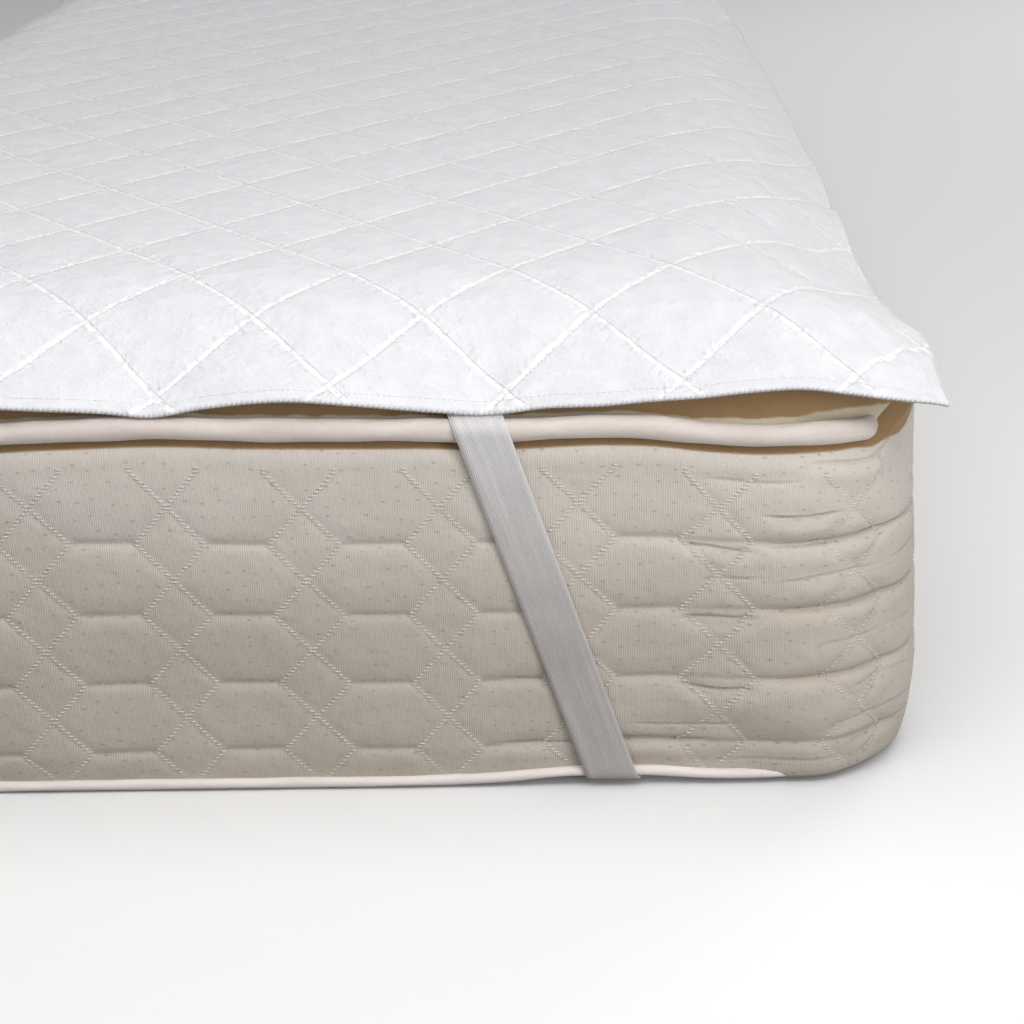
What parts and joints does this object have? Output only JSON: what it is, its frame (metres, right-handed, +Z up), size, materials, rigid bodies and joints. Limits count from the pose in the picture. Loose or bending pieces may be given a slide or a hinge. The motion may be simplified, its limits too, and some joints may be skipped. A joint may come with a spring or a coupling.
{
  "type": "mattress protector on a mattress",
  "caption": "White quilted mattress protector, held by elastic bands across the corners of the single mattress that it fits.",
  "frame": {"origin": "middle of the mattress's flat underside, on the surface that it rests on", "axes": "+Z up; +Y along the mattress from the foot end towards the head end; +X to the right seen from the foot end"},
  "size_m": [0.9244, 1.9244, 0.2965],
  "materials": {
    "quilted_cotton": "soft matt",
    "woven_elastic": "ribbed, matt",
    "mattress_ticking": "ribbed ticking with a faint sheen",
    "top_piping_tape": "twill tape, faint sheen",
    "bottom_piping_tape": "twill tape, matt"
  },
  "bodies": {
    "root": {"quilted_panel": "quilted_cotton", "band_front_right": "woven_elastic", "band_front_left": "woven_elastic", "band_back_right": "woven_elastic", "band_back_left": "woven_elastic", "mattress_body": "mattress_ticking", "top_piping": "top_piping_tape", "bottom_piping": "bottom_piping_tape"}
  },
  "joints": []
}
